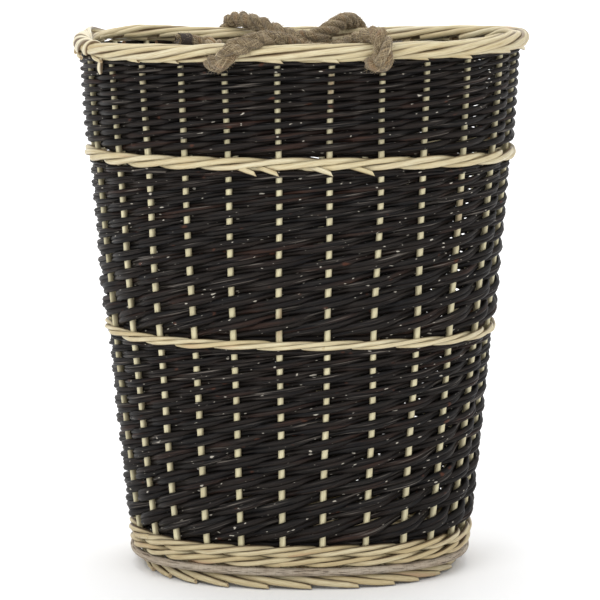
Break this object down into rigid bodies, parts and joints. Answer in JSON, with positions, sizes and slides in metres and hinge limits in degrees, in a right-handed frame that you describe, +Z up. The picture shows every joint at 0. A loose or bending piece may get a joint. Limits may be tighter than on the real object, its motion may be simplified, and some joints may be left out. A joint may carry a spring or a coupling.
{
  "type": "wicker log basket",
  "caption": "Tall oval willow basket tapering to a woven foot, with dark woven bands between pale wales, a rolled border and two rope handles, for storing firewood.",
  "frame": {"origin": "on the floor under the middle of the basket", "axes": "+Z up, +X along the long side of the oval, -Y towards the front"},
  "size_m": [0.4378, 0.3842, 0.5268],
  "materials": {
    "pale_willow": "satin peeled willow",
    "stake_willow": "satin peeled willow",
    "base_sticks": "matt peeled willow",
    "dark_willow": "satin dark stained bark",
    "bark_hoop": "matt weathered bark",
    "jute_rope": "matt hairy jute",
    "whipping": "matt dark tape"
  },
  "bodies": {
    "basket": {"stake_01": "stake_willow", "stake_02": "stake_willow", "stake_03": "stake_willow", "stake_04": "stake_willow", "stake_05": "stake_willow", "stake_06": "stake_willow", "stake_07": "stake_willow", "stake_08": "stake_willow", "stake_09": "stake_willow", "stake_10": "stake_willow", "stake_11": "stake_willow", "stake_12": "stake_willow", "stake_13": "stake_willow", "stake_14": "stake_willow", "stake_15": "stake_willow", "stake_16": "stake_willow", "stake_17": "stake_willow", "stake_18": "stake_willow", "stake_19": "stake_willow", "stake_20": "stake_willow", "stake_21": "stake_willow", "stake_22": "stake_willow", "stake_23": "stake_willow", "stake_24": "stake_willow", "stake_25": "stake_willow", "stake_26": "stake_willow", "foot_border": "pale_willow", "foot_hoop": "bark_hoop", "foot_wale": "pale_willow", "lower_band": "dark_willow", "lower_wale": "pale_willow", "middle_band": "dark_willow", "upper_wale": "pale_willow", "top_band": "dark_willow", "top_border": "pale_willow", "base_weave": "pale_willow", "base_long_stick_1": "base_sticks", "base_long_stick_2": "base_sticks", "base_long_stick_3": "base_sticks", "base_cross_stick_1": "base_sticks", "base_cross_stick_2": "base_sticks", "base_cross_stick_3": "base_sticks", "base_cross_stick_4": "base_sticks", "base_cross_stick_5": "base_sticks", "base_cross_stick_6": "base_sticks", "base_cross_stick_7": "base_sticks", "front_left_rope_end": "jute_rope", "front_right_rope_end": "jute_rope", "back_left_rope_end": "jute_rope", "back_right_rope_end": "jute_rope", "front_left_whipping": "whipping", "front_right_whipping": "whipping", "back_left_whipping": "whipping", "back_right_whipping": "whipping"},
    "front_handle": {"front_handle_rope": "jute_rope"},
    "back_handle": {"back_handle_rope": "jute_rope"}
  },
  "joints": [
    {"name": "front_handle_swing", "type": "hinge", "parent": "basket", "child": "front_handle", "pos_m": [0, -0.1847, 0.506], "axis": [1, 0, 0], "range_deg": [0, 120]},
    {"name": "back_handle_swing", "type": "hinge", "parent": "basket", "child": "back_handle", "pos_m": [0, 0.1836, 0.5062], "axis": [-1, 0, 0], "range_deg": [0, 120]}
  ]
}
